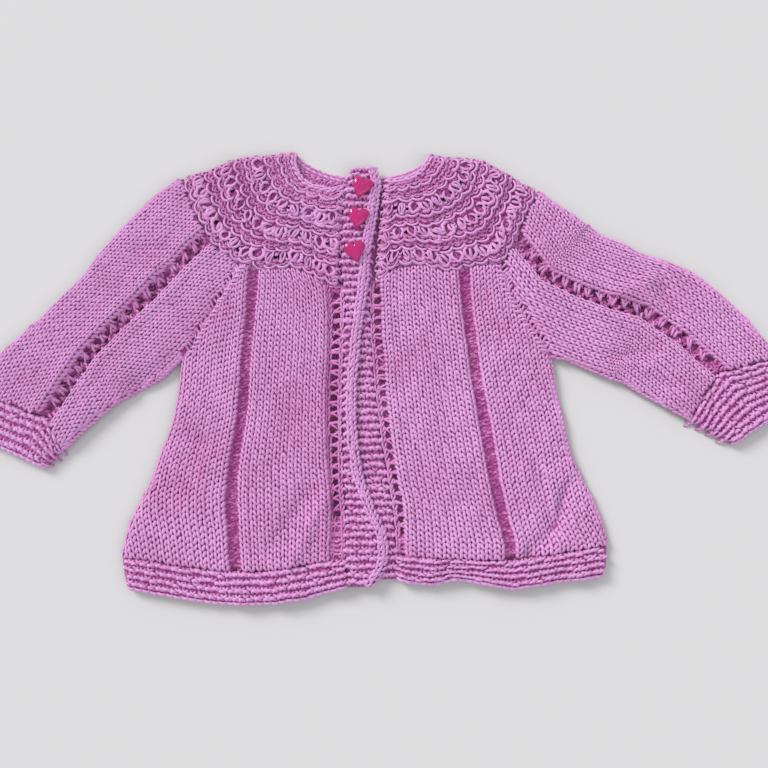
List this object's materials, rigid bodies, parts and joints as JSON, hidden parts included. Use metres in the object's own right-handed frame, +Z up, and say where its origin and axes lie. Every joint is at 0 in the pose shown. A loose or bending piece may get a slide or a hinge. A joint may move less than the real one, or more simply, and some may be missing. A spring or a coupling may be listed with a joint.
{
  "type": "baby cardigan",
  "caption": "Hand-knitted baby cardigan lying flat, buttoned at the chest, with a round lace yoke, flared lace-striped body, garter edges and heart buttons.",
  "frame": {"origin": "on the surface that the garment lies on, under the middle of its outline", "axes": "+X to the viewer's right, across the garment from cuff to cuff; +Y from the hem to the neck; +Z up, away from the surface"},
  "size_m": [0.5118, 0.272, 0.012],
  "materials": {
    "yarn": "soft pink double-knitting yarn, matt with a light fuzz",
    "buttons": "glossy magenta-red plastic"
  },
  "bodies": {
    "root": {"back_panel": "yarn", "back_hem": "yarn", "yoke_back": "yarn", "front_right_panel": "yarn", "front_right_hem": "yarn", "front_left_panel": "yarn", "front_left_hem": "yarn", "under_band": "yarn", "button_band": "yarn", "yoke_front_right": "yarn", "yoke_front_left": "yarn", "sleeve_right_front": "yarn", "sleeve_right_back": "yarn", "sleeve_left_front": "yarn", "sleeve_left_back": "yarn", "cuff_right_front": "yarn", "cuff_right_back": "yarn", "cuff_left_front": "yarn", "cuff_left_back": "yarn", "heart_button_1": "buttons", "heart_button_2": "buttons", "heart_button_3": "buttons"}
  },
  "joints": []
}
